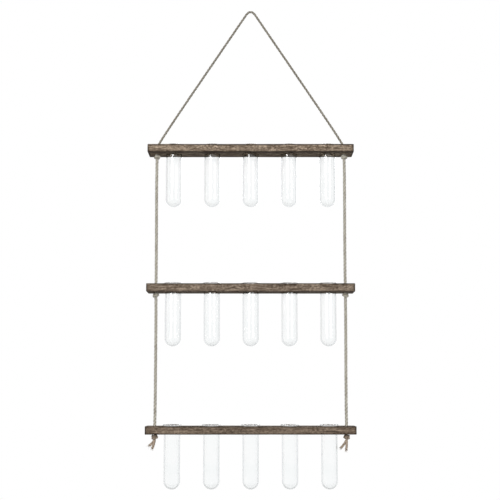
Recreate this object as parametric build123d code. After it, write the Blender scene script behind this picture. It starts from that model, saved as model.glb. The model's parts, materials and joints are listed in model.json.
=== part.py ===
from build123d import *
import os
from math import asin, atan2, hypot, pi, radians, sin, tan

# Hanging propagation vase: three wooden bars of glass tubes, carried one below the other
# on a single knotted rope. Sizes in millimetres. The origin is the inside of the rope's
# top bend, where a hook carries it. +Z is up, +X is right and the front faces -Y.

# Wooden bars
bar_length = 320.0
bar_depth = 42.0
bar_height = 12.7
bar_edge_radius = 1.6

# Glass tubes; the outer ones stand rope_to_tube from the rope holes, and the rest evenly between
tube_count = 5
rope_to_tube = 26.5
tube_diameter = 25.0
tube_wall = 1.3
tube_length = 98.0
tube_clearance = 0.5
lip_overhang = 1.75
lip_height = 2.2
lip_edge_radius = 0.7

# Rope
rope_diameter = 4.2
rope_clearance = 0.6
rope_inset = 13.5
bend_gap = 0.3

# Knots, each of two rope turns round the standing rope
knot_turn_slack = 1.0
knot_turn_pitch = 3.2
knot_turn_tilt = 15.0

# Untwisted rope ends: lean to the left in degrees, and length, of each strand
strand_diameter = 3.0
strand_tip_diameter = 2.2
end_strands = {
    "left": ((42.0, 14.0), (14.0, 15.0)),
    "right": ((35.0, 17.0), (4.0, 17.5)),
}

# Hanging
hook_radius = 7.0
hanger_height = 214.0
tier_spacing = 217.0

# Sizes that follow from the driving dimensions
rope_radius = rope_diameter / 2
rope_x = bar_length / 2 - rope_inset
tube_radius = tube_diameter / 2
tube_pitch = 2 * (rope_x - rope_to_tube) / (tube_count - 1)
tube_row = [(i - (tube_count - 1) / 2) * tube_pitch for i in range(tube_count)]
knot_turn_radius = rope_radius + knot_turn_slack
knot_reach = knot_turn_radius * sin(radians(knot_turn_tilt)) + rope_radius
knot_depth = rope_radius + knot_turn_pitch + knot_reach

tiers = ("top", "middle", "bottom")
sides = {"left": -1, "right": 1}
bar_tops = {tier: -hanger_height - i * tier_spacing for i, tier in enumerate(tiers)}


def wooden_bar(top_z):
    """A bar with rounded edges, a row of tube holes and a rope hole near each end."""
    edge = min(bar_edge_radius, 0.4 * bar_height)
    bar = Box(bar_length, bar_depth, bar_height)
    bar = fillet(bar.edges(), edge)
    for x in tube_row:
        bar -= Pos(x, 0, 0) * Cylinder(tube_radius + tube_clearance, 2 * bar_height)
    for side in sides.values():
        bar -= Pos(side * rope_x, 0, 0) * Cylinder(rope_radius + rope_clearance, 2 * bar_height)
    return Pos(0, 0, top_z - bar_height / 2) * bar


def glass_tube(x, seat_z):
    """A round-bottomed tube whose rolled lip sits on the bar."""
    bore = tube_radius - tube_wall
    lip = tube_radius + lip_overhang
    edge = min(lip_edge_radius, 0.4 * lip_height)
    round_z = lip_height - tube_length + tube_radius
    with BuildPart() as tube:
        with BuildSketch(Plane.XZ):
            with BuildLine():
                CenterArc((0, round_z), tube_radius, -90, 90)
                Line((tube_radius, round_z), (tube_radius, 0))
                Line((tube_radius, 0), (lip - edge, 0))
                CenterArc((lip - edge, edge), edge, -90, 90)
                Line((lip, edge), (lip, lip_height - edge))
                CenterArc((lip - edge, lip_height - edge), edge, 0, 90)
                Line((lip - edge, lip_height), (bore + edge, lip_height))
                CenterArc((bore + edge, lip_height - edge), edge, 90, 90)
                Line((bore, lip_height - edge), (bore, round_z))
                CenterArc((0, round_z), bore, 0, -90)
                Line((0, round_z - bore), (0, round_z - tube_radius))
            make_face()
        revolve(axis=Axis.Z)
    return Pos(x, 0, seat_z) * tube.part


def hanger_rope(pivot_z):
    """The rope over the hook: two straight legs and one bend, with a ball on each pivot."""
    bend = hook_radius + rope_radius
    drop = -hook_radius - pivot_z
    leg_lean = atan2(rope_x, drop) - asin(bend / hypot(rope_x, drop))
    corner_z = pivot_z + rope_x / tan(leg_lean)
    route = [(-rope_x, 0, pivot_z), (0, 0, corner_z), (rope_x, 0, pivot_z)]
    path = FilletPolyline(*route, radius=[bend])
    section = Plane(origin=path @ 0, z_dir=path % 0) * Circle(rope_radius)
    rope = sweep(section, path=path)
    print("hanger bend radius", round(bend, 2), "corner", round(corner_z, 2))
    print("hanger volume", round(rope.volume, 1), "section x length", round(pi * rope_radius**2 * path.length, 1))
    for side in sides.values():
        rope += Pos(side * rope_x, 0, pivot_z) * Sphere(rope_radius)
    return rope


def side_rope(x, pivot_z, end_z):
    """A straight hanging stretch with a ball on its pivot and a flat lower end."""
    with BuildPart() as rope:
        with BuildSketch(Plane.XZ):
            with BuildLine():
                Line((0, end_z), (rope_radius, end_z))
                Line((rope_radius, end_z), (rope_radius, pivot_z))
                CenterArc((0, pivot_z), rope_radius, 0, 90)
                Line((0, pivot_z + rope_radius), (0, end_z))
            make_face()
        revolve(axis=Axis.Z)
    return Pos(x, 0, 0) * rope.part


def knot(x, bar_top):
    """Two tilted turns under the bar, round the rope that passes up through its hole."""
    underside = bar_top - bar_height
    first_z = underside - rope_radius
    second_z = first_z - knot_turn_pitch
    turn = Torus(knot_turn_radius, rope_radius)
    lump = Pos(0, 0, first_z) * Rot(0, knot_turn_tilt, 0) * turn
    lump += Pos(0, 0, second_z) * Rot(0, -knot_turn_tilt, 0) * turn
    core_height = underside - second_z
    lump += Pos(0, 0, second_z + core_height / 2) * Cylinder(knot_turn_radius, core_height)
    trim = 4 * knot_turn_radius
    lump -= Pos(0, 0, underside + trim / 2) * Box(trim, trim, trim)
    standing_height = bar_height + knot_depth
    lump += Pos(0, 0, bar_top - standing_height / 2) * Cylinder(rope_radius, standing_height)
    return Pos(x, 0, 0) * lump


def rope_end(x, top_z, strands):
    """The last bit of rope below an end knot, opened into tapering strands."""
    end = Pos(0, 0, -rope_radius / 2) * Cylinder(rope_radius, rope_radius)
    for lean, length in strands:
        strand = Cone(strand_tip_diameter / 2, strand_diameter / 2, length)
        strand = Pos(0, 0, -length / 2) * strand
        end += Pos(0, 0, -strand_diameter / 2) * Rot(0, lean, 0) * strand
    return Pos(x, 0, top_z) * end


def knot_bottom(tier):
    """Height of the lowest point of a tier's knots."""
    return bar_tops[tier] - bar_height - knot_depth


def below_knots(tier):
    """Height of the pivot where the next stretch of rope leaves a tier's knots."""
    return knot_bottom(tier) - bend_gap - rope_radius


def build_nodes():
    """Every piece of the vase, by name."""
    nodes = {}
    for tier in tiers:
        nodes[f"{tier}_bar"] = wooden_bar(bar_tops[tier])
        for i, x in enumerate(tube_row, start=1):
            nodes[f"{tier}_tube_{i}"] = glass_tube(x, bar_tops[tier])
        for name, side in sides.items():
            nodes[f"{tier}_{name}_knot"] = knot(side * rope_x, bar_tops[tier])
    nodes["hanger_rope"] = hanger_rope(bar_tops["top"] + bend_gap + rope_radius)
    for name, side in sides.items():
        x = side * rope_x
        nodes[f"upper_{name}_rope"] = side_rope(x, below_knots("top"), bar_tops["middle"])
        nodes[f"lower_{name}_rope"] = side_rope(x, below_knots("middle"), bar_tops["bottom"])
        nodes[f"{name}_rope_end"] = rope_end(x, knot_bottom("bottom"), end_strands[name])
    return nodes


def main():
    os.makedirs("parts", exist_ok=True)
    for name, piece in build_nodes().items():
        piece.label = name
        export_step(piece, f"parts/{name}.step")
    print("pivot heights", bar_tops["top"] + bend_gap + rope_radius, below_knots("top"), below_knots("middle"))
    print("bar tops", bar_tops, "rope x", rope_x, "knot depth", knot_depth)


main()
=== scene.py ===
import json
import math

import bmesh
import bpy
import numpy as np
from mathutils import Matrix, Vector, noise


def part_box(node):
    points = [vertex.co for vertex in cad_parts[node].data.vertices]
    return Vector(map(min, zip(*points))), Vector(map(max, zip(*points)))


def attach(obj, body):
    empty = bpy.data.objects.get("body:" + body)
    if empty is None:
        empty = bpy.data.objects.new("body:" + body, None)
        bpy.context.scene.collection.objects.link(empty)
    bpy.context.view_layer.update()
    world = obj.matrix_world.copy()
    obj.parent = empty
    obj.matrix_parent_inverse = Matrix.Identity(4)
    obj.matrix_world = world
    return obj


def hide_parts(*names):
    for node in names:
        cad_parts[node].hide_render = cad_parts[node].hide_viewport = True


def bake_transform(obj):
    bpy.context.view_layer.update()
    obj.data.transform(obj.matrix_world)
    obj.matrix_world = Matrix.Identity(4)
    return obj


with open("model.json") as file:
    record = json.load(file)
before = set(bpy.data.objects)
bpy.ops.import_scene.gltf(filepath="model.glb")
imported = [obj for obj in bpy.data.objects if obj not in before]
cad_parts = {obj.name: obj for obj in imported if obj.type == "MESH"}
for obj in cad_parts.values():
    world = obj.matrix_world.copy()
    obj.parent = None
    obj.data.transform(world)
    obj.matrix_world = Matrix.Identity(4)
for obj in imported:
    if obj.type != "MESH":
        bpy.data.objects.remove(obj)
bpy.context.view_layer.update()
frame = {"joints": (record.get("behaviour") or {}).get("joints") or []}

# Lengths are in metres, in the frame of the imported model.
MM = 0.001
TIERS = ("top", "middle", "bottom")
SIDES = {"left": -1, "right": 1}
TUBES = range(1, 6)
WHITE = (1.0, 1.0, 1.0)

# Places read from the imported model
BAR_BOX = {tier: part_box(f"{tier}_bar") for tier in TIERS}
BAR_TOP = {tier: high.z for tier, (low, high) in BAR_BOX.items()}
UNDERSIDE = {tier: low.z for tier, (low, high) in BAR_BOX.items()}
KNOT_BOTTOM = {tier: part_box(f"{tier}_left_knot")[0].z for tier in TIERS}
TUBE_X = [sum(corner.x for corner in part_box(f"top_tube_{i}")) / 2 for i in TUBES]
ROPE_X = sum(corner.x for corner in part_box("upper_right_rope")) / 2
PIVOT_Z = {joint["child"]: joint["pos_m"][2] for joint in frame["joints"] if joint["type"] == "hinge"}

# Rope: the hanger is pulled thinner than the nominal rope, and the side ropes are looser
ROPE_D = 4.2 * MM
HANGER_LOFT = 0.86
SIDE_LOFT = 1.16
ROPE_LAY = 17 * MM
ROPE_STEP = 0.9 * MM
STRAND_SHARE = 0.27
TUCK = 4 * MM

# Painted shade in the grooves between the strands: where it starts and its ramp, as shares of the rope's
# diameter
GROOVE_SHADE_START = 0.45
GROOVE_SHADE_RAMP = 0.13

# A direction that no rope starts along
ACROSS_START = (0.0, 1.0, 0.05)

# Unevenness of the strands: points between changes, and size
TURN_DRIFT = (9, 0.06)
THICK_DRIFT = (5, 0.045)

# Each tube of yarn shows another stretch of the fibre pattern
FIBRE_SHIFT = 0.37

# Loose fibres: root as a share of the rope's diameter, rise off the rope, run along it, bend and curl
FUZZ_PER_METRE = 700
FUZZ_ROOT = 0.42
FUZZ_RISE = (0.25, 0.6)
FUZZ_ALONG = (0.5, 1.0)
FUZZ_BEND = (-0.25, 0.15)
FUZZ_CURL = 0.15
FUZZ_LENGTH = (1.2 * MM, 2.8 * MM)
FUZZ_THICK = 0.06 * MM
HAIR_TAPER = np.array([1.0, 0.95, 0.85, 0.7, 0.4])
HAIR_SIDES = 3

# Hanger route: control point of the top bend, and how far the next point is from it
APEX_Z = 9.47 * MM
NEAR_APEX = 28 * MM
HANGER_SEED = 3

# Side rope routes: start inside the knot, inner points' distance from the ends, and their sideways shift
IN_KNOT = 1.2 * MM
UPPER_RUN = 26 * MM
LOWER_RUN = 30 * MM
SIDE_SEED = 11
SWAY = {
    "upper_left": (-0.5 * MM, 0.2 * MM),
    "upper_right": (0.4 * MM, -0.4 * MM),
    "lower_left": (0.5 * MM, 0.4 * MM),
    "lower_right": (0.3 * MM, -0.5 * MM),
}

# Knots: turns of rope, eased in and out, that wave in and out and up and down
KNOT_ROPE_D = 3.9 * MM
KNOT_RADIUS = 3.2 * MM
KNOT_TURNS = 2.4
KNOT_EASE = 0.16
KNOT_WAVE = 1.5
KNOT_BULGE = 0.1
KNOT_SWING = 0.9 * MM
KNOT_LEAD_IN = 0.8 * MM
KNOT_LEAD_OUT = 0.6 * MM
KNOT_POINTS = 90
KNOT_STEP = 0.5 * MM
KNOT_LAY = ROPE_LAY * 0.8
KNOT_FUZZ = 1500
KNOT_SEED = 40

# Points at a knot's upper end that lie in the bar and carry no loose fibres
KNOT_HIDDEN = 24

# Spin of the first knot, and what each tier and each side adds, in radians
KNOT_SPIN = (2.2, 1.3, 2.6)

# Rope ends: lean in degrees and length of each strand, and its slant to the back or front
TAILS = {
    "left": ((42, 12 * MM), (14, 13 * MM)),
    "right": ((35, 15 * MM), (4, 15.5 * MM)),
}
TAIL_SLANT = (0.16, -0.14)
TAIL_BOW = Vector((0.1, 0, -0.16))
TAIL_D = 4.0 * MM
TAIL_LAY = 11 * MM
TAIL_FUZZ = 2600
TAIL_POINTS = 28
TAIL_SEED = 70
NECK_D = 3.6 * MM
NECK_ABOVE = Vector((0, 0, 1.5 * MM))
NECK_BELOW = Vector((0, 0, 2.6 * MM))
NECK_POINTS = 9

# Frayed tips: fibres rooted a little inside the strand, spread round its way
TIP_HAIRS = 60
TIP_DEPTH = 1.2 * MM
TIP_WIDTH = 0.7 * MM
TIP_SPREAD = 0.33
TIP_CURL = 0.2
TIP_LENGTH = (1.6 * MM, 3.8 * MM)
TIP_THICK = 0.12 * MM

# Jute: noise along the fibres, ramp of the streaks, tones, and the painted shade between the strands
STREAK_SCALE = (3.2, 3.2, 240)
FINE_SCALE = (9, 9, 520)
JUTE_RAMP = (
    (0.26, (0.30, 0.255, 0.19)),
    (0.46, (0.52, 0.465, 0.375)),
    (0.70, (0.72, 0.67, 0.56)),
)
JUTE_BLOTCH = (0.80, 0.78, 0.76)
JUTE_TONE = (1.0, 1.06, 1.12)
WORN_TONE = (0.90, 0.80, 0.76)
TAUT_TONE = (0.62, 0.64, 0.66)
# Colour of the painted shade between the strands
GROOVE_SHADE_TONE = (0.095, 0.077, 0.057)

# Glass
TUBE_RADIUS = 12.5 * MM
TUBE_WALL = 1.3 * MM
TUBE_LENGTH = 98 * MM
LIP_RADIUS = 14.25 * MM
LIP_HEIGHT = 2.2 * MM
LIP_EDGE = 0.7 * MM
LIP_CROWN = 1.0 * MM
LIP_SEAT = 0.45 * MM
EVEN_RUN = 0.6 * MM
TUBE_SEGMENTS = 72
GLASS_BODY = (0.97, 0.98, 0.98)
# Painted reflection: colour of the glass where its surface turns away, standing in for dark surroundings
GLASS_PAINTED_EDGE = (0.60, 0.62, 0.63)
GLASS_DEPTH = (0.60, 0.65, 0.67)

# Wood
HOLE_RADIUS = 13.0 * MM
HOLE_SEGMENTS = 64
ROPE_HOLE_RADIUS = 2.7 * MM
ROPE_HOLE_SEGMENTS = 28
HOLE_CHAMFER = 0.4 * MM
EDGE_ROUND = 0.9 * MM
GRAIN_STEP = 0.55 * MM
SECTION_STEP = 1.7 * MM
WELD = 0.001 * MM
SHARP_ANGLE = 38
BAR_SEED = 5

# Wear of the surface: fine grooves along the grain, slow swell, and what is lost all over
GROOVE_SCALE = (22, 420, 420)
GROOVE_DEPTH = 0.12 * MM
SWELL_SCALE = (16, 50, 50)
SWELL_DEPTH = 0.10 * MM
WEAR_LOSS = 0.06 * MM

# Drying cracks: share on the front and back, place across, half length, strength, depth and half width
CHECKS_PER_BAR = 12
CHECKS_ON_FACE = 0.55
CHECK_ACROSS = 0.75
CHECK_REACH = (12 * MM, 50 * MM)
CHECK_STRENGTH = (0.3, 1.0)
CHECK_DEPTH = 0.45 * MM
CHECK_WIDTH = 0.45 * MM
# How much darker the wood is in the cracks
CHECK_DARK = 0.9

# Wander of a crack: how far, turns along the bar, and phase by its place across
WANDER_REACH = 0.5 * MM
WANDER_TURNS = 90
WANDER_PHASE = 4000

# Dark share of the bars, partly stain and partly painted shade: strength, width of its band and ramp at the
# border, and evenness and spread of its patches
# Edge band: partly stain, partly painted shade of the corners between the faces
EDGE_STAIN_AND_SHADE = 0.95
EDGE_BAND = (2.7 * MM, 1.8 * MM)
EDGE_FALL = 1.2
EDGE_PATCHES = (0.95, 0.6)
END_STAIN = 0.92
END_BAND = (3.4 * MM, 2.2 * MM)
END_PATCHES = (0.95, 0.5)
END_GRAIN_STAIN = 0.3
END_GRAIN_BAND = (0.6 * MM, 0.6 * MM)
# Painted shade in a band on the underside, along the front and back edges
UNDER_SHADE = 0.95
UNDER_SHADE_BAND = (9.0 * MM, 6.0 * MM)
UNDER_SHADE_PATCHES = (1.0, 0.4)
# Painted shade on the walls of the holes
HOLE_SHADE = 0.55
PATCH_SCALE = (60, 80, 80)

# How near a point is to count as on a face with a crack, on the end, underneath, low down or in a hole
CHECK_FACE = 1.2 * MM
END_FACE = 0.4 * MM
UNDER_FACE = 1 * MM
LOW_BAND = 4 * MM
IN_HOLE = 0.9 * MM

# Each bar's wood: tone, strength of its figure, and share of stain and painted shade along its lower edges
WOODS = {
    "top": ((1.38, 1.34, 1.26), 1.0, 1.0),
    "middle": ((1.01, 0.98, 0.94), 0.95, 0.3),
    "bottom": ((1.05, 1.01, 0.96), 0.40, 1.0),
}

# Wood noises: features per metre along, across and up, then detail, roughness and distortion
WOOD_NOISES = {
    "patches": ((10, 45, 45), 3.0, 0.5, 0.0),
    "wave": ((80, 60, 60), 2.0, 0.5, 0.0),
    "grain": ((13, 300, 300), 6.0, 0.62, 0.8),
    "curl": ((38, 520, 520), 3.0, 0.5, 0.5),
    "fibres": ((60, 1500, 1500), 6.0, 0.7, 0.0),
    "flecks": ((320, 520, 520), 4.0, 0.6, 0.6),
    "pores": ((150, 800, 800), 4.0, 0.7, 0.0),
}
WAVE_REACH = 4.5 * MM
SEED_SHIFT = (0.41, 0.13, 0.07)

# Wood colours: the grain's ramp, the plainer board, the pale streaks, and the colour of the stain and
# painted shade
GRAIN_TONES = (
    (0.30, (0.085, 0.061, 0.044)),
    (0.46, (0.190, 0.147, 0.114)),
    (0.60, (0.305, 0.250, 0.200)),
    (0.76, (0.440, 0.370, 0.305)),
)
PLAIN_BOARD = (0.26, 0.21, 0.168)
PLAIN_SHARE = 0.5
PALE_STREAK = (0.61, 0.52, 0.430)
STREAK_START = 0.46
STREAK_FULL = 0.62
STREAK_SHARE = 0.95
CURL_SHARE = 0.78
STAIN_AND_SHADE = (0.026, 0.019, 0.014)

# Darker marks: the noise that makes them, their share, and their ramp
DARK_MARKS = (
    ("patches", 1.0, (0.3, (0.78, 0.755, 0.735)), (0.7, (1.0, 0.98, 0.96))),
    ("fibres", 0.8, (0.3, (0.68, 0.66, 0.64)), (0.68, WHITE)),
    ("flecks", 1.0, (0.37, (0.40, 0.38, 0.36)), (0.63, WHITE)),
    ("pores", 0.75, (0.34, (0.22, 0.19, 0.17)), (0.45, WHITE)),
)

# End grain: the bar's middle seen from the heart of the tree, and the growth rings
FROM_HEART = (0.0, 12 * MM, 30 * MM)
RINGS_SCALE = 150.0
RING_TONES = ((0.15, (0.10, 0.074, 0.055)), (0.85, (0.23, 0.18, 0.14)))

# Stage
FLOOR_Z = -1.15
FLOOR_RADIUS = 1.7
FLOOR_SIDES = 96
FLOOR_TONE = (0.86, 0.86, 0.85)
FLOOR_BOUNCE = (0.12, 0.12, 0.12)
FLOOR_FADE = (0.35 * FLOOR_RADIUS, 0.95 * FLOOR_RADIUS)
SKY_RISE = (-0.25, 0.8)
SKY_LIGHT = (0.13, 0.40)
LAMP_AIM = (0, 0, -0.38)
LAMPS = {
    "key": ((-0.9, -2.0, -0.2), 0.9, 34),
    "fill": ((1.3, -1.8, -0.25), 0.9, 18),
    "back": ((0.4, 1.9, 0.5), 1.2, 30),
}
CAMERA_PLACE = (-1.0 * MM, -1.8, -0.6)
CAMERA_TILT = 6.34
CAMERA_LENS = 84.06
CAMERA_SENSOR = 36.0
CAMERA_SHIFT = 0.029


# Mesh helpers

def link_piece(name, mesh, material):
    """Puts a mesh in the scene as a named piece."""
    piece = bpy.data.objects.new(name, mesh)
    bpy.context.scene.collection.objects.link(piece)
    mesh.materials.clear()
    mesh.materials.append(material)
    return piece


def mesh_from(name, points, faces):
    """A smooth-shaded mesh from arrays of points and faces."""
    mesh = bpy.data.meshes.new(name)
    mesh.from_pydata([tuple(p) for p in points], [], faces)
    mesh.validate()
    mesh.shade_smooth()
    return mesh


def store(mesh, name, kind, values):
    """Keeps a value at each point for a material to read."""
    attribute = mesh.attributes.new(name, kind, "POINT")
    field = "vector" if kind == "FLOAT_VECTOR" else "value"
    attribute.data.foreach_set(field, np.asarray(values, np.float32).ravel())


def weld(mesh):
    """Joins points that lie in the same place."""
    work = bmesh.new()
    work.from_mesh(mesh)
    bmesh.ops.remove_doubles(work, verts=work.verts, dist=WELD)
    work.to_mesh(mesh)
    work.free()


def lathe(name, profile, segments):
    """A closed mesh turned from a profile of (radius, height) that starts and ends on the axis."""
    angles = np.arange(segments) * 2 * math.pi / segments
    points, rings, faces = [], [], []
    for radius, height in profile:
        if radius < 1e-9:
            rings.append([len(points)])
            points.append((0.0, 0.0, height))
            continue
        rings.append(list(range(len(points), len(points) + segments)))
        points += [(radius * math.cos(a), radius * math.sin(a), height) for a in angles]
    for low, high in zip(rings, rings[1:]):
        for j in range(segments):
            k = (j + 1) % segments
            if len(low) == 1:
                faces.append((low[0], high[k], high[j]))
            elif len(high) == 1:
                faces.append((low[j], low[k], high[0]))
            else:
                faces.append((low[j], low[k], high[k], high[j]))
    return mesh_from(name, points, faces)


def arc(centre, radius, start, end, steps):
    """Points on an arc, as (radius, height) pairs, with the angles in degrees."""
    turns = np.radians(np.linspace(start, end, steps + 1))
    return [(centre[0] + radius * math.cos(a), centre[1] + radius * math.sin(a)) for a in turns]


# Materials

class Nodes:
    """Short calls for building one material's node tree."""

    def __init__(self, name):
        self.material = bpy.data.materials.new(name)
        self.material.use_nodes = True
        self.tree = self.material.node_tree
        self.shader = self.tree.nodes["Principled BSDF"]
        self.output = self.tree.nodes["Material Output"]

    def add(self, kind, **settings):
        """A new node with its settings."""
        node = self.tree.nodes.new(kind)
        for key, value in settings.items():
            setattr(node, key, value)
        return node

    def link(self, source, target):
        """A link from an output to an input."""
        self.tree.links.new(source, target)

    def scaled(self, source, scale):
        """A vector multiplied by a scale on each axis."""
        node = self.add("ShaderNodeVectorMath", operation="MULTIPLY")
        self.link(source, node.inputs[0])
        node.inputs[1].default_value = scale
        return node.outputs["Vector"]

    def shifted(self, source, offset):
        """A vector moved by an offset."""
        node = self.add("ShaderNodeVectorMath", operation="ADD")
        self.link(source, node.inputs[0])
        node.inputs[1].default_value = offset
        return node.outputs["Vector"]

    def waved(self, source, wave):
        """A vector moved across the bar by a wave's value."""
        offset = self.add("ShaderNodeCombineXYZ")
        self.link(wave, offset.inputs["Y"])
        self.link(wave, offset.inputs["Z"])
        node = self.add("ShaderNodeVectorMath", operation="ADD")
        self.link(source, node.inputs[0])
        self.link(offset.outputs["Vector"], node.inputs[1])
        return node.outputs["Vector"]

    def noise(self, vector, scale, detail, roughness, distortion=0.0):
        """A noise texture's value at a vector."""
        node = self.add("ShaderNodeTexNoise")
        self.link(vector, node.inputs["Vector"])
        node.inputs["Scale"].default_value = scale
        node.inputs["Detail"].default_value = detail
        node.inputs["Roughness"].default_value = roughness
        node.inputs["Distortion"].default_value = distortion
        return node.outputs["Fac"]

    def wood_noise(self, vector, kind):
        """One of the wood's noises."""
        per_metre, detail, roughness, distortion = WOOD_NOISES[kind]
        return self.noise(self.scaled(vector, per_metre), 1.0, detail, roughness, distortion)

    def ramp(self, value, *stops):
        """A colour ramp with stops of (place, colour)."""
        node = self.add("ShaderNodeValToRGB")
        while len(node.color_ramp.elements) < len(stops):
            node.color_ramp.elements.new(0.5)
        for element, (place, colour) in zip(node.color_ramp.elements, stops):
            element.position = place
            element.color = (*colour, 1.0)
        self.link(value, node.inputs["Fac"])
        return node.outputs["Color"]

    def mix(self, share, first, second, blend="MIX"):
        """Two colours mixed by a share, each a socket or a plain value."""
        node = self.add("ShaderNodeMix", data_type="RGBA", blend_type=blend)
        factor, colour_a, colour_b = node.inputs[0], node.inputs[6], node.inputs[7]
        for value, socket in ((share, factor), (first, colour_a), (second, colour_b)):
            if isinstance(value, float):
                socket.default_value = value
            elif isinstance(value, tuple):
                socket.default_value = (*value, 1.0)
            else:
                self.link(value, socket)
        return node.outputs[2]

    def span(self, value, low, high):
        """A value from 0 to 1 spread over low to high."""
        node = self.add("ShaderNodeMapRange")
        self.link(value, node.inputs["Value"])
        node.inputs["To Min"].default_value = low
        node.inputs["To Max"].default_value = high
        return node.outputs["Result"]

    def rings(self, place):
        """Sawn end grain: growth rings round a heart below the bar."""
        wave = self.add("ShaderNodeTexWave", wave_type="RINGS", rings_direction="X")
        self.link(self.shifted(place, FROM_HEART), wave.inputs["Vector"])
        wave.inputs["Scale"].default_value = RINGS_SCALE
        wave.inputs["Distortion"].default_value = 2.5
        wave.inputs["Detail"].default_value = 4.0
        wave.inputs["Detail Scale"].default_value = 2.0
        return self.ramp(wave.outputs["Fac"], *RING_TONES)

    def sum(self, first, second):
        """Two values added."""
        node = self.add("ShaderNodeMath", operation="ADD")
        self.link(first, node.inputs[0])
        self.link(second, node.inputs[1])
        return node.outputs["Value"]

    def attribute(self, name, output):
        """A value that is stored at the mesh's points."""
        return self.add("ShaderNodeAttribute", attribute_name=name).outputs[output]

    def place(self):
        """The place of a point on its own object."""
        return self.add("ShaderNodeTexCoord").outputs["Object"]

    def bump(self, height, distance, strength):
        """Fine relief from a height."""
        node = self.add("ShaderNodeBump")
        node.inputs["Strength"].default_value = strength
        node.inputs["Distance"].default_value = distance
        self.link(height, node.inputs["Height"])
        self.link(node.outputs["Normal"], self.shader.inputs["Normal"])


def wood_material(name, tone, figure, seed):
    """Weathered grey-brown board: grain along X with wavy pale streaks, dark marks, cracks, and stain with
    painted shade at the edges, underneath and in the holes.
    """
    n = Nodes(name)
    bar = n.place()
    place = n.shifted(bar, tuple(step * seed for step in SEED_SHIFT))
    reach = WAVE_REACH * figure
    waved = n.waved(place, n.span(n.wood_noise(place, "wave"), -reach, reach))
    noises = {kind: n.wood_noise(waved, kind) for kind in ("grain", "curl", "fibres", "flecks")}
    noises.update({kind: n.wood_noise(place, kind) for kind in ("patches", "pores")})
    board = n.ramp(noises["grain"], *GRAIN_TONES)
    board = n.mix(PLAIN_SHARE * (1.0 - figure), board, PLAIN_BOARD)
    curls = n.span(noises["curl"], 0.0, CURL_SHARE)
    ragged = n.sum(curls, n.span(noises["fibres"], 0.0, 1.0 - CURL_SHARE))
    streak = n.ramp(ragged, (STREAK_START, (0.0,) * 3), (STREAK_FULL, (STREAK_SHARE * figure,) * 3))
    board = n.mix(streak, board, PALE_STREAK)
    for kind, share, *stops in DARK_MARKS:
        board = n.mix(share, board, n.ramp(noises[kind], *stops), "MULTIPLY")
    board = n.mix(1.0, board, tone, "MULTIPLY")
    board = n.mix(n.attribute("end", "Fac"), board, n.rings(bar))
    # Stain at the edges and ends, darker cracks, and painted shade at the corners, under the edges and in
    # the holes
    board = n.mix(n.attribute("dark", "Fac"), board, STAIN_AND_SHADE)
    n.link(board, n.shader.inputs["Base Color"])
    n.link(n.span(noises["grain"], 0.92, 0.68), n.shader.inputs["Roughness"])
    n.shader.inputs["Specular IOR Level"].default_value = 0.15
    n.bump(n.sum(noises["curl"], noises["fibres"]), 0.6 * MM, 0.6)
    return n.material


def jute_material(name, tone):
    """Dry jute yarn: fibres along each strand, with painted shade between the strands."""
    n = Nodes(name)
    fibre = n.attribute("fibre", "Vector")
    streaks = n.noise(n.scaled(fibre, STREAK_SCALE), 1.0, 4.0, 0.65)
    fine = n.noise(n.scaled(fibre, FINE_SCALE), 1.0, 3.0, 0.6)
    blotch = n.noise(n.place(), 60.0, 3.0, 0.5)
    yarn = n.ramp(streaks, *JUTE_RAMP)
    tint = n.ramp(blotch, (0.32, JUTE_BLOTCH), (0.68, WHITE))
    yarn = n.mix(1.0, yarn, tint, "MULTIPLY")
    yarn = n.mix(1.0, yarn, tone, "MULTIPLY")
    # Painted shade: darker where the yarn lies deep between the strands
    yarn = n.mix(n.attribute("groove_shade", "Fac"), yarn, GROOVE_SHADE_TONE)
    n.link(yarn, n.shader.inputs["Base Color"])
    n.link(n.span(fine, 0.98, 0.78), n.shader.inputs["Roughness"])
    n.shader.inputs["Specular IOR Level"].default_value = 0.2
    n.shader.inputs["Sheen Weight"].default_value = 0.25
    n.shader.inputs["Sheen Roughness"].default_value = 0.5
    n.bump(n.sum(streaks, fine), 0.4 * MM, 0.6)
    return n.material


def glass_material():
    """Clear laboratory glass: a faint grey tint in its depth, and painted dark edges where the surface
    turns away, standing in for dark surroundings seen in the glass.
    """
    n = Nodes("clear_glass")
    mottle = n.noise(n.place(), 40.0, 2.0, 0.5)
    body = n.ramp(mottle, (0.3, GLASS_BODY), (0.7, WHITE))
    # Painted reflection: darker base colour where the surface turns away from view
    facing = n.add("ShaderNodeLayerWeight").outputs["Facing"]
    rim = n.ramp(facing, (0.40, WHITE), (0.80, GLASS_PAINTED_EDGE))
    n.link(n.mix(1.0, body, rim, "MULTIPLY"), n.shader.inputs["Base Color"])
    n.shader.inputs["Transmission Weight"].default_value = 1.0
    n.shader.inputs["Roughness"].default_value = 0.0
    n.shader.inputs["IOR"].default_value = 1.47
    depth = n.add("ShaderNodeVolumeAbsorption")
    depth.inputs["Color"].default_value = (*GLASS_DEPTH, 1.0)
    depth.inputs["Density"].default_value = 25.0
    n.link(depth.outputs["Volume"], n.output.inputs["Volume"])
    return n.material


# Wooden bars

def quarter_point(run, half_y, half_z):
    """Point and outward direction on a quarter of a bar's cross-section, by distance from its side."""
    flat_side = half_z - EDGE_ROUND
    bend = EDGE_ROUND * math.pi / 2
    if run < flat_side:
        return (half_y, run), (1.0, 0.0)
    if run < flat_side + bend:
        a = (run - flat_side) / EDGE_ROUND
        out = (math.cos(a), math.sin(a))
        y = half_y - EDGE_ROUND + EDGE_ROUND * out[0]
        z = half_z - EDGE_ROUND + EDGE_ROUND * out[1]
        return (y, z), out
    return (half_y - EDGE_ROUND - (run - flat_side - bend), half_z), (0.0, 1.0)


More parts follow.
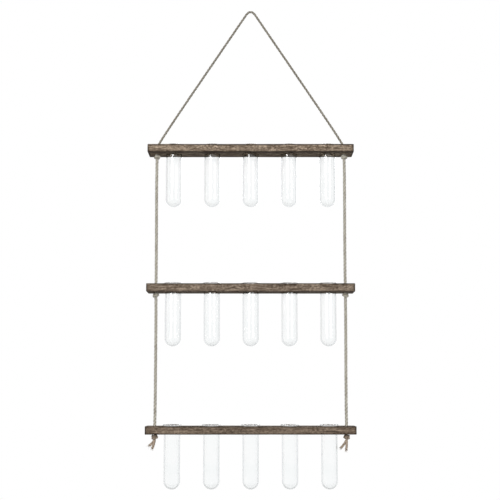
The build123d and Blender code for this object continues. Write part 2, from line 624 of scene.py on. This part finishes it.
def bar_ring(half_y, half_z):
    """The whole cross-section and its outward directions, the same above and below and front and back."""
    length = half_z + half_y - 2 * EDGE_ROUND + EDGE_ROUND * math.pi / 2
    count = int(length / GRAIN_STEP)
    quarter = [quarter_point(length * i / count, half_y, half_z) for i in range(count + 1)]
    mirrored = [((-y, z), (-dy, dz)) for (y, z), (dy, dz) in reversed(quarter[:-1])]
    upper = quarter + mirrored
    lower = [((y, -z), (dy, -dz)) for (y, z), (dy, dz) in reversed(upper[1:-1])]
    ring = upper + lower
    return np.array([p for p, d in ring]), np.array([d for p, d in ring])


def bar_sections(half_x):
    """Stations along a bar: x, how far the outline is drawn in, and how far it is folded to the middle."""
    start = [(-half_x, EDGE_ROUND, fold) for fold in (1.0, 0.75, 0.5, 0.25)]
    for degrees in (0, 22.5, 45, 67.5):
        a = math.radians(degrees)
        start.append((-half_x + EDGE_ROUND * (1 - math.cos(a)), EDGE_ROUND * (1 - math.sin(a)), 0.0))
    inner = half_x - EDGE_ROUND
    body = [(x, 0.0, 0.0) for x in np.linspace(-inner, inner, int(2 * inner / SECTION_STEP))]
    end = [(-x, inset, fold) for x, inset, fold in reversed(start)]
    return start + body + end


def bar_checks(rng, half_x, half_y, half_z):
    """Drying cracks along a bar: face axis, side, place across, middle, half length and strength."""
    checks = []
    for _ in range(CHECKS_PER_BAR):
        axis = 1 if rng.random() < CHECKS_ON_FACE else 2
        across = (half_z if axis == 1 else half_y) * rng.uniform(-CHECK_ACROSS, CHECK_ACROSS)
        middle = half_x * rng.uniform(-1.0, 1.0)
        side = rng.choice((-1, 1))
        reach = rng.uniform(*CHECK_REACH)
        strength = rng.uniform(*CHECK_STRENGTH)
        checks.append((axis, side, across, middle, reach, strength))
    return checks


def check_depth(points, checks, half):
    """How deep each point lies in a crack, from 0 to 1."""
    depth = np.zeros(len(points))
    for axis, side, across, middle, reach, strength in checks:
        other = 3 - axis
        wander = WANDER_REACH * np.sin(points[:, 0] * WANDER_TURNS + across * WANDER_PHASE)
        near = np.exp(-((points[:, other] - across - wander) / CHECK_WIDTH) ** 2)
        along = np.clip(1 - ((points[:, 0] - middle) / reach) ** 2, 0, 1)
        on_face = np.abs(points[:, axis] * side - half[axis]) < CHECK_FACE
        depth = np.maximum(depth, near * along * on_face * strength)
    return depth


def noise_at(points, scale, offset=(0, 0, 0)):
    """Smooth noise round 0 at each point."""
    return np.array([noise.noise(p) for p in points * scale + offset])


def bar_wear(points, seed):
    """How far the weathered surface stands out from the sawn one."""
    groove = noise_at(points, GROOVE_SCALE, (seed, 0, 0))
    swell = noise_at(points, SWELL_SCALE, (0, seed, 0))
    return GROOVE_DEPTH * groove + SWELL_DEPTH * swell - WEAR_LOSS


def hole_cutter(name, places, bar_height):
    """One mesh of all a bar's holes, with a small chamfer at both faces."""
    points, faces = [], []
    half = bar_height / 2
    for x, radius, segments in places:
        flare = radius + 2 * HOLE_CHAMFER
        outer = half + HOLE_CHAMFER
        inner = half - HOLE_CHAMFER
        profile = [(0, -outer), (flare, -outer), (radius, -inner)]
        profile += [(radius, inner), (flare, outer), (0, outer)]
        mesh = lathe(name, profile, segments)
        first = len(points)
        points += [(v.co.x + x, v.co.y, v.co.z) for v in mesh.vertices]
        faces += [tuple(first + i for i in face.vertices) for face in mesh.polygons]
        bpy.data.meshes.remove(mesh)
    return mesh_from(name, points, faces)


def cut_holes(blank, cutter):
    """The blank with the cutter taken out of it, as a new mesh."""
    body = bpy.data.objects.new("bar_blank", blank)
    tool = bpy.data.objects.new("bar_cutter", cutter)
    for helper in (body, tool):
        bpy.context.scene.collection.objects.link(helper)
    cut = body.modifiers.new("holes", "BOOLEAN")
    cut.operation = "DIFFERENCE"
    cut.solver = "EXACT"
    cut.object = tool
    ready = body.evaluated_get(bpy.context.evaluated_depsgraph_get())
    mesh = bpy.data.meshes.new_from_object(ready)
    for helper in (body, tool):
        bpy.data.objects.remove(helper)
    weld(mesh)
    return mesh


def band(distance, width, ramp):
    """1 close to a line, and 0 from a width on, with a ramp at the border."""
    return np.clip((width - distance) / ramp, 0, 1)


def uneven(patchy, even, spread):
    """Share of a stain that is left where it comes and goes in patches."""
    return np.clip(even + spread * patchy, 0, 1)


def bar_darkness(points, checks, half, low_stain_and_shade):
    """Share of dark colour: darker in cracks, painted shade in holes, stain and painted shade along edges,
    stain at the ends, and painted shade under the front and back.
    """
    to_face = half - np.abs(points)
    gaps = np.sort(to_face, axis=1)
    patchy = noise_at(points, PATCH_SCALE)
    # Along the edges: partly stain, partly painted shade of the corners, less low down by the bar's share
    edge = EDGE_STAIN_AND_SHADE * band(gaps[:, 1], *EDGE_BAND) ** EDGE_FALL * uneven(patchy, *EDGE_PATCHES)
    edge = np.where(points[:, 2] < LOW_BAND - half[2], low_stain_and_shade * edge, edge)
    end = np.where(to_face[:, 0] < END_FACE, END_GRAIN_STAIN, END_STAIN)
    end = end * band(to_face[:, 0], *END_BAND) * uneven(patchy, *END_PATCHES)
    # Painted shade on the underside, along the front and back edges
    below = points[:, 2] < UNDER_FACE - half[2]
    under = UNDER_SHADE * low_stain_and_shade * band(to_face[:, 1], *UNDER_SHADE_BAND) * below
    under = under * uneven(patchy, *UNDER_SHADE_PATCHES)
    # Darker in the cracks
    cracks = CHECK_DARK * check_depth(points, checks, half)
    dark = np.max([edge, end, under, cracks], axis=0)
    # Painted shade on the hole walls
    return np.where(gaps[:, 0] > IN_HOLE, HOLE_SHADE, dark)


def bar_blank(tier, seed, half, checks):
    """A worn bar without its holes, round its own middle."""
    ring, out = bar_ring(half[1], half[2])
    wide = len(ring)
    spine = np.column_stack([np.clip(ring[:, 0], half[2] - half[1], half[1] - half[2]), 0 * ring[:, 1]])
    rows, worn = [], []
    for x, inset, fold in bar_sections(half[0]):
        flat = ring - inset * out
        flat = flat + fold * (spine - flat)
        rows.append(np.column_stack([np.full(wide, x), flat]))
        worn.append(np.full(wide, 1.0 - fold))
    points = np.vstack(rows)
    lift = bar_wear(points, seed) - CHECK_DEPTH * check_depth(points, checks, half)
    lift = lift * np.concatenate(worn)
    directions = np.tile(np.column_stack([0 * out[:, 0], out]), (len(rows), 1))
    points = points + lift[:, None] * directions
    faces = []
    for i in range(len(rows) - 1):
        low, high = i * wide, (i + 1) * wide
        for j in range(wide):
            k = (j + 1) % wide
            faces.append((low + j, low + k, high + k, high + j))
    mesh = mesh_from(f"{tier}_blank", points, faces)
    weld(mesh)
    return mesh


def wooden_bar(tier, seed, tone, figure, low_stain_and_shade):
    """A weathered bar with its holes, in place of the plain one."""
    low, high = BAR_BOX[tier]
    half = np.array((high - low) / 2)
    centre = np.array((high + low) / 2)
    checks = bar_checks(np.random.default_rng(seed), *half)
    holes = [(x, HOLE_RADIUS, HOLE_SEGMENTS) for x in TUBE_X]
    holes += [(side * ROPE_X, ROPE_HOLE_RADIUS, ROPE_HOLE_SEGMENTS) for side in SIDES.values()]
    cutter = hole_cutter(f"{tier}_holes", holes, 2 * half[2])
    mesh = cut_holes(bar_blank(tier, seed, half, checks), cutter)
    placed = np.array([v.co for v in mesh.vertices])
    # Stain and painted shade, stored for the wood material
    store(mesh, "dark", "FLOAT", bar_darkness(placed, checks, half, low_stain_and_shade))
    store(mesh, "end", "FLOAT", band(half[0] - np.abs(placed[:, 0]), *END_GRAIN_BAND))
    mesh.shade_smooth()
    mesh.set_sharp_from_angle(angle=math.radians(SHARP_ANGLE))
    wood = wood_material(f"weathered_wood_{tier}", tone, figure, seed)
    piece = link_piece(f"weathered_{tier}_bar", mesh, wood)
    piece.location = centre
    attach(piece, f"{tier}_tier")
    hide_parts(f"{tier}_bar")


# Glass tubes

def tube_profile():
    """Outside, lip and inside of a tube; height 0 is where the lip sits on the bar."""
    bore = TUBE_RADIUS - TUBE_WALL
    round_z = LIP_HEIGHT - TUBE_LENGTH + TUBE_RADIUS
    crown_z = LIP_HEIGHT - LIP_CROWN
    profile = arc((0, round_z), TUBE_RADIUS, -90, 0, 20)
    profile[0] = (0.0, round_z - TUBE_RADIUS)
    profile += [(TUBE_RADIUS, z) for z in (round_z + EVEN_RUN, 0.5 * round_z, -LIP_SEAT - EVEN_RUN)]
    profile += arc((TUBE_RADIUS + LIP_SEAT, -LIP_SEAT), LIP_SEAT, 180, 90, 4)
    profile += arc((LIP_RADIUS - LIP_EDGE, LIP_EDGE), LIP_EDGE, -90, 0, 5)
    profile += arc((LIP_RADIUS - LIP_CROWN, crown_z), LIP_CROWN, 0, 90, 6)
    profile += arc((bore + LIP_CROWN, crown_z), LIP_CROWN, 90, 180, 6)
    profile += [(bore, z) for z in (crown_z - EVEN_RUN, 0.5 * round_z, round_z + EVEN_RUN)]
    inside = arc((0, round_z), bore, 0, -90, 20)
    inside[-1] = (0.0, round_z - bore)
    return profile + inside


def glass_tubes(material):
    """The fifteen tubes, which share one turned mesh."""
    mesh = lathe("test_tube", tube_profile(), TUBE_SEGMENTS)
    for tier in TIERS:
        for i, x in zip(TUBES, TUBE_X):
            piece = link_piece(f"glass_{tier}_tube_{i}", mesh, material)
            piece.location = (x, 0, BAR_TOP[tier])
            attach(piece, f"{tier}_tube_{i}")
            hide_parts(f"{tier}_tube_{i}")


# Rope

def route_line(name, route):
    """Points on the smooth line whose control points are the route's."""
    curve = bpy.data.curves.new(name, "CURVE")
    curve.dimensions = "3D"
    spline = curve.splines.new("NURBS")
    spline.points.add(len(route) - 1)
    for point, place in zip(spline.points, route):
        point.co = (*place, 1.0)
    spline.order_u = 3
    spline.use_endpoint_u = True
    spline.resolution_u = 40
    holder = bpy.data.objects.new(name, curve)
    bpy.context.scene.collection.objects.link(holder)
    mesh = bpy.data.meshes.new_from_object(holder)
    points = np.array([v.co for v in mesh.vertices])
    bpy.data.objects.remove(holder)
    bpy.data.curves.remove(curve)
    bpy.data.meshes.remove(mesh)
    return points


def run_along(points):
    """Distance along a line to each of its points."""
    return np.r_[0, np.cumsum(np.linalg.norm(np.diff(points, axis=0), axis=1))]


def stepped(points, step):
    """Points at even steps along a line."""
    run = run_along(points)
    at = np.linspace(0, run[-1], int(run[-1] / step) + 2)
    return np.column_stack([np.interp(at, run, points[:, i]) for i in range(3)])


def frames_along(points):
    """The way of a line and two steady cross directions at each of its points."""
    tangent = np.gradient(points, axis=0)
    tangent /= np.linalg.norm(tangent, axis=1, keepdims=True)
    across = np.cross(tangent[0], ACROSS_START)
    normals = []
    for t in tangent:
        across = across - t * np.dot(across, t)
        across = across / np.linalg.norm(across)
        normals.append(across)
    normal = np.array(normals)
    return tangent, normal, np.cross(tangent, normal)


def drift(rng, count, spacing, size):
    """A slowly wandering run of values round 0."""
    stops = rng.normal(0, size, count // spacing + 3)
    return np.interp(np.arange(count), np.arange(len(stops)) * spacing, stops)


class Yarn:
    """Tubes of yarn gathered into one mesh, with the values that the jute material reads."""

    def __init__(self):
        self.points, self.faces, self.fibre, self.groove_shade = [], [], [], []
        self.count = 0

    def tube(self, line, radii, sides, groove_shade=None):
        """Adds one tube; the painted groove shade is a function of its points, one row for each ring."""
        _, normal, side = frames_along(line)
        angle = np.arange(sides) * 2 * math.pi / sides
        ring = np.cos(angle)[None, :, None] * normal[:, None] + np.sin(angle)[None, :, None] * side[:, None]
        points = line[:, None] + ring * np.asarray(radii)[:, None, None]
        rows = len(line)
        first = self.count
        for i in range(rows - 1):
            low, high = first + i * sides, first + (i + 1) * sides
            for j in range(sides):
                k = (j + 1) % sides
                self.faces.append((low + j, low + k, high + k, high + j))
        self.faces.append(tuple(first + j for j in reversed(range(sides))))
        self.faces.append(tuple(first + (rows - 1) * sides + j for j in range(sides)))
        run = run_along(line) + FIBRE_SHIFT * len(self.points)
        fibre = np.stack([np.tile(np.cos(angle), (rows, 1)), np.tile(np.sin(angle), (rows, 1)),
                          np.tile(run[:, None], (1, sides))], axis=2)
        self.points.append(points.reshape(-1, 3))
        self.fibre.append(fibre.reshape(-1, 3))
        self.groove_shade.append(groove_shade(points).ravel() if groove_shade else np.zeros(rows * sides))
        self.count += rows * sides

    def twist(self, line, diameter, lay, rng, strands=3, sides=9):
        """Adds strands twisted round a line, with painted shade in the grooves between them."""
        _, normal, side = frames_along(line)
        thick = STRAND_SHARE * diameter
        orbit = diameter / 2 - thick
        turn = 2 * math.pi * run_along(line) / lay

        # Painted shade: 1 deep in the grooves near the rope's line, 0 on the strands' outer faces
        def groove_shade(points):
            out = np.linalg.norm(points - line[:, None], axis=2)
            return np.clip((GROOVE_SHADE_START * diameter - out) / (GROOVE_SHADE_RAMP * diameter), 0, 1)

        for k in range(strands):
            a = turn + 2 * math.pi * k / strands + drift(rng, len(line), *TURN_DRIFT)
            centre = line + orbit * (np.cos(a)[:, None] * normal + np.sin(a)[:, None] * side)
            radii = thick * (1 + drift(rng, len(line), *THICK_DRIFT))
            self.tube(centre, radii, sides, groove_shade)

    def hair(self, root, way, length, bend, thick):
        """Adds one loose fibre."""
        share = np.linspace(0, 1, len(HAIR_TAPER))[:, None]
        line = root + way * length * share + bend * length * share**2
        self.tube(line, thick * HAIR_TAPER, HAIR_SIDES)

    def fuzz(self, line, diameter, per_metre, rng):
        """Adds loose fibres that stand off a rope."""
        tangent, normal, side = frames_along(line)
        for _ in range(int(per_metre * run_along(line)[-1])):
            i = rng.integers(1, len(line) - 1)
            a = rng.uniform(0, 2 * math.pi)
            out = math.cos(a) * normal[i] + math.sin(a) * side[i]
            rise = rng.uniform(*FUZZ_RISE)
            along = rng.choice((-1, 1)) * rng.uniform(*FUZZ_ALONG)
            bend = out * rng.uniform(*FUZZ_BEND) + rng.normal(0, FUZZ_CURL, 3)
            length = rng.uniform(*FUZZ_LENGTH)
            root = line[i] + out * FUZZ_ROOT * diameter
            self.hair(root, out * rise + tangent[i] * along, length, bend, FUZZ_THICK)

    def piece(self, name, material):
        """The gathered mesh as a piece of the scene."""
        mesh = mesh_from(name, np.vstack(self.points), self.faces)
        store(mesh, "fibre", "FLOAT_VECTOR", np.vstack(self.fibre))
        store(mesh, "groove_shade", "FLOAT", np.concatenate(self.groove_shade))
        return link_piece(name, mesh, material)


def rope_stretch(name, route, node, material, loft, seed):
    """One taut stretch of rope, built along its route and baked in place."""
    rng = np.random.default_rng(seed)
    line = stepped(route_line(name, route), ROPE_STEP)
    yarn = Yarn()
    yarn.twist(line, ROPE_D * loft, ROPE_LAY, rng)
    yarn.fuzz(line, ROPE_D * loft, FUZZ_PER_METRE, rng)
    piece = yarn.piece(name, material)
    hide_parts(node)
    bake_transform(piece)


def hanger(material):
    """The rope over the hook, from the left hole of the top bar to the right one."""
    foot = PIVOT_Z["top_tier"]
    apex = Vector((0, 0, APEX_Z))
    corner = Vector((ROPE_X, 0, foot))
    near = apex + (corner - apex).normalized() * NEAR_APEX
    tuck = corner - Vector((0, 0, TUCK))
    half = [(tuck.x, 0, tuck.z), (corner.x, 0, corner.z), (near.x, 0, near.z)]
    route = [(-x, y, z) for x, y, z in half] + [tuple(apex)] + half[::-1]
    rope_stretch("jute_hanger", route, "hanger_rope",
                 material, HANGER_LOFT, HANGER_SEED)


def side_rope(above, below, level, side, material, seed):
    """One straight stretch from the knot under a bar to the bar below."""
    x = SIDES[side] * ROPE_X
    high = KNOT_BOTTOM[above] + IN_KNOT
    low = BAR_TOP[below] - TUCK
    first, second = SWAY[f"{level}_{side}"]
    route = [(x, 0, high), (x + first, 0, high - UPPER_RUN), (x + second, 0, low + LOWER_RUN), (x, 0, low)]
    rope_stretch(f"jute_{level}_{side}", route, f"{level}_{side}_rope",
                 material, SIDE_LOFT, seed)


def side_ropes(material, ends):
    """The four straight stretches between the bars; ends is not used."""
    for s, side in enumerate(SIDES):
        side_rope("top", "middle", "upper", side, material, SIDE_SEED + s)
    for s, side in enumerate(SIDES):
        side_rope("middle", "bottom", "lower", side, material, SIDE_SEED + s + 2)


# Knots and rope ends

def knot_line(bar_height, depth):
    """A stopper knot's line: down through the hole, round itself, and out below."""
    share = np.linspace(0, 1, KNOT_POINTS)
    turn = 2 * math.pi * KNOT_TURNS * share
    ease = np.clip(share / KNOT_EASE, 0, 1) * np.clip((1 - share) / KNOT_EASE, 0, 1)
    ease = ease * ease * (3 - 2 * ease)
    out = KNOT_RADIUS * ease * (1 + KNOT_BULGE * np.cos(KNOT_WAVE * turn))
    top = -0.5 * KNOT_ROPE_D
    fall = depth + 2 * top
    height = top - fall * share + KNOT_SWING * np.sin(KNOT_WAVE * turn) * ease
    coil = np.column_stack([out * np.cos(turn), out * np.sin(turn), height])
    above = [(0, 0, bar_height), (0, 0, top + KNOT_LEAD_IN)]
    below = [(0, 0, coil[-1, 2] - KNOT_LEAD_OUT), (0, 0, -depth)]
    return np.vstack([above, coil, below])


def knot(tier, side, spin, seed, material):
    """One knot under a bar, turned by its spin."""
    rng = np.random.default_rng(seed)
    height = BAR_TOP[tier] - UNDERSIDE[tier]
    line = stepped(knot_line(height, UNDERSIDE[tier] - KNOT_BOTTOM[tier]), KNOT_STEP)
    turned = line.copy()
    turned[:, 0] = line[:, 0] * math.cos(spin) - line[:, 1] * math.sin(spin)
    turned[:, 1] = line[:, 0] * math.sin(spin) + line[:, 1] * math.cos(spin)
    turned += (SIDES[side] * ROPE_X, 0, UNDERSIDE[tier])
    yarn = Yarn()
    yarn.twist(turned, KNOT_ROPE_D, KNOT_LAY, rng)
    yarn.fuzz(turned[KNOT_HIDDEN:], KNOT_ROPE_D, KNOT_FUZZ, rng)
    piece = yarn.piece(f"knot_{tier}_{side}", material)
    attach(piece, f"{tier}_tier")
    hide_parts(f"{tier}_{side}_knot")


def knots(materials):
    """The six knots, each turned a little differently."""
    first, by_tier, by_side = KNOT_SPIN
    for t, tier in enumerate(TIERS):
        for s, side in enumerate(SIDES):
            knot(tier, side, first + by_tier * t + by_side * s, KNOT_SEED + 2 * t + s, materials[tier])


def tail(yarn, start, lean, length, slant, rng):
    """One strand of a rope end, with a frayed tip."""
    a = math.radians(lean)
    way = np.array(Vector((-math.sin(a), slant, -math.cos(a))))
    share = np.linspace(0, 1, TAIL_POINTS)[:, None]
    line = np.array(start)[None] + way[None] * length * share
    line = line + np.array(TAIL_BOW * length)[None] * (share - share**2)
    yarn.twist(line, TAIL_D, TAIL_LAY, rng)
    yarn.fuzz(line, TAIL_D, TAIL_FUZZ, rng)
    for _ in range(TIP_HAIRS):
        spread = way + rng.normal(0, TIP_SPREAD, 3)
        root = line[-1] + rng.normal(0, TIP_WIDTH, 3) - way * TIP_DEPTH
        yarn.hair(root, spread, rng.uniform(*TIP_LENGTH), rng.normal(0, TIP_CURL, 3), TIP_THICK)


def rope_ends(material):
    """The two untwisted ends below the bottom bar, each split in two frayed strands."""
    pieces = {}
    for s, (side, strands) in enumerate(TAILS.items()):
        rng = np.random.default_rng(TAIL_SEED + s)
        start = Vector((SIDES[side] * ROPE_X, 0, KNOT_BOTTOM["bottom"]))
        yarn = Yarn()
        neck = np.linspace(start + NECK_ABOVE, start - NECK_BELOW, NECK_POINTS)
        yarn.twist(neck, NECK_D, ROPE_LAY, rng)
        for (lean, length), slant in zip(strands, TAIL_SLANT):
            tail(yarn, start, lean, length, slant, rng)
        piece = yarn.piece(f"frayed_{side}_end", material)
        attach(piece, "bottom_tier")
        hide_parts(f"{side}_rope_end")
        pieces[side] = piece
    return pieces


# Stage

def seen_rays(tree):
    """1 for what the camera sees, itself, in a reflection or through glass."""
    rays = tree.nodes.new("ShaderNodeLightPath")
    seen = rays.outputs["Is Camera Ray"]
    for name in ("Is Glossy Ray", "Is Transmission Ray"):
        either = tree.nodes.new("ShaderNodeMath")
        either.operation = "MAXIMUM"
        tree.links.new(seen, either.inputs[0])
        tree.links.new(rays.outputs[name], either.inputs[1])
        seen = either.outputs["Value"]
    return seen


def white_world():
    """Plain white to the camera, in reflections and through glass; soft light from above elsewhere."""
    world = bpy.data.worlds.new("studio")
    bpy.context.scene.world = world
    world.use_nodes = True
    tree = world.node_tree
    tree.nodes.clear()
    output = tree.nodes.new("ShaderNodeOutputWorld")
    seen = tree.nodes.new("ShaderNodeBackground")
    seen.inputs["Color"].default_value = (1, 1, 1, 1)
    seen.inputs["Strength"].default_value = 1.0
    light = tree.nodes.new("ShaderNodeBackground")
    place = tree.nodes.new("ShaderNodeTexCoord")
    split = tree.nodes.new("ShaderNodeSeparateXYZ")
    rise = tree.nodes.new("ShaderNodeMapRange")
    rise.inputs["From Min"].default_value = SKY_RISE[0]
    rise.inputs["From Max"].default_value = SKY_RISE[1]
    rise.inputs["To Min"].default_value = SKY_LIGHT[0]
    rise.inputs["To Max"].default_value = SKY_LIGHT[1]
    tree.links.new(place.outputs["Generated"], split.inputs[0])
    tree.links.new(split.outputs["Z"], rise.inputs["Value"])
    tree.links.new(rise.outputs["Result"], light.inputs["Strength"])
    mix = tree.nodes.new("ShaderNodeMixShader")
    tree.links.new(seen_rays(tree), mix.inputs["Fac"])
    tree.links.new(light.outputs[0], mix.inputs[1])
    tree.links.new(seen.outputs[0], mix.inputs[2])
    tree.links.new(mix.outputs[0], output.inputs["Surface"])


def floor_material():
    """Pale floor that fades to the white round it and throws little light up."""
    n = Nodes("pale_floor")
    glow = n.add("ShaderNodeEmission")
    glow.inputs["Color"].default_value = (1, 1, 1, 1)
    n.shader.inputs["Roughness"].default_value = 0.9
    reach = n.add("ShaderNodeVectorMath", operation="LENGTH")
    n.link(n.scaled(n.place(), (1, 1, 0)), reach.inputs[0])
    fade = n.add("ShaderNodeMapRange", interpolation_type="SMOOTHSTEP")
    n.link(reach.outputs["Value"], fade.inputs["Value"])
    fade.inputs["From Min"].default_value = FLOOR_FADE[0]
    fade.inputs["From Max"].default_value = FLOOR_FADE[1]
    rays = n.add("ShaderNodeLightPath")
    tone = n.mix(rays.outputs["Is Diffuse Ray"], FLOOR_TONE, FLOOR_BOUNCE)
    n.link(tone, n.shader.inputs["Base Color"])
    share = n.add("ShaderNodeMath", operation="MULTIPLY")
    n.link(fade.outputs["Result"], share.inputs[0])
    n.link(seen_rays(n.tree), share.inputs[1])
    mix = n.add("ShaderNodeMixShader")
    n.link(share.outputs[0], mix.inputs["Fac"])
    n.link(n.shader.outputs[0], mix.inputs[1])
    n.link(glow.outputs[0], mix.inputs[2])
    n.link(mix.outputs[0], n.output.inputs["Surface"])
    return n.material


def pale_floor():
    """A round pale floor well below the vase."""
    angles = np.arange(FLOOR_SIDES) * 2 * math.pi / FLOOR_SIDES
    rim = [(FLOOR_RADIUS * math.cos(a), FLOOR_RADIUS * math.sin(a), 0) for a in angles]
    mesh = mesh_from("floor", rim, [tuple(range(FLOOR_SIDES))])
    mesh.materials.append(floor_material())
    floor = bpy.data.objects.new("floor", mesh)
    floor.location.z = FLOOR_Z
    bpy.context.scene.collection.objects.link(floor)


def area_light(name, place, size, watts):
    """A square soft light that faces the vase and isn't seen through the glass."""
    lamp = bpy.data.lights.new(name, "AREA")
    lamp.size = size
    lamp.energy = watts
    holder = bpy.data.objects.new(name, lamp)
    holder.location = place
    holder.rotation_euler = (Vector(LAMP_AIM) - Vector(place)).to_track_quat("-Z", "Y").to_euler()
    holder.visible_transmission = False
    bpy.context.scene.collection.objects.link(holder)


def camera():
    """Below the middle of the vase and looking slightly up, as in the photograph."""
    data = bpy.data.cameras.new("camera")
    data.sensor_width = CAMERA_SENSOR
    data.lens = CAMERA_LENS
    data.shift_y = CAMERA_SHIFT
    holder = bpy.data.objects.new("camera", data)
    holder.location = CAMERA_PLACE
    holder.rotation_euler = (math.radians(90 + CAMERA_TILT), 0, 0)
    bpy.context.scene.collection.objects.link(holder)
    bpy.context.scene.camera = holder


def stage():
    """Background, floor, lamps and camera."""
    white_world()
    pale_floor()
    for name, (place, size, watts) in LAMPS.items():
        area_light(name, place, size, watts)
    camera()
    bpy.context.scene.view_settings.view_transform = "Standard"


def main():
    """Builds every piece and the stage."""
    glass_tubes(glass_material())
    jute = jute_material("twisted_jute", JUTE_TONE)
    worn_jute = jute_material("worn_jute", WORN_TONE)
    hanger(jute_material("taut_jute", TAUT_TONE))
    side_ropes(jute, rope_ends(worn_jute))
    knots({"top": jute, "middle": jute, "bottom": worn_jute})
    for seed, tier in enumerate(TIERS, start=BAR_SEED):
        wooden_bar(tier, seed, *WOODS[tier])
    stage()


main()
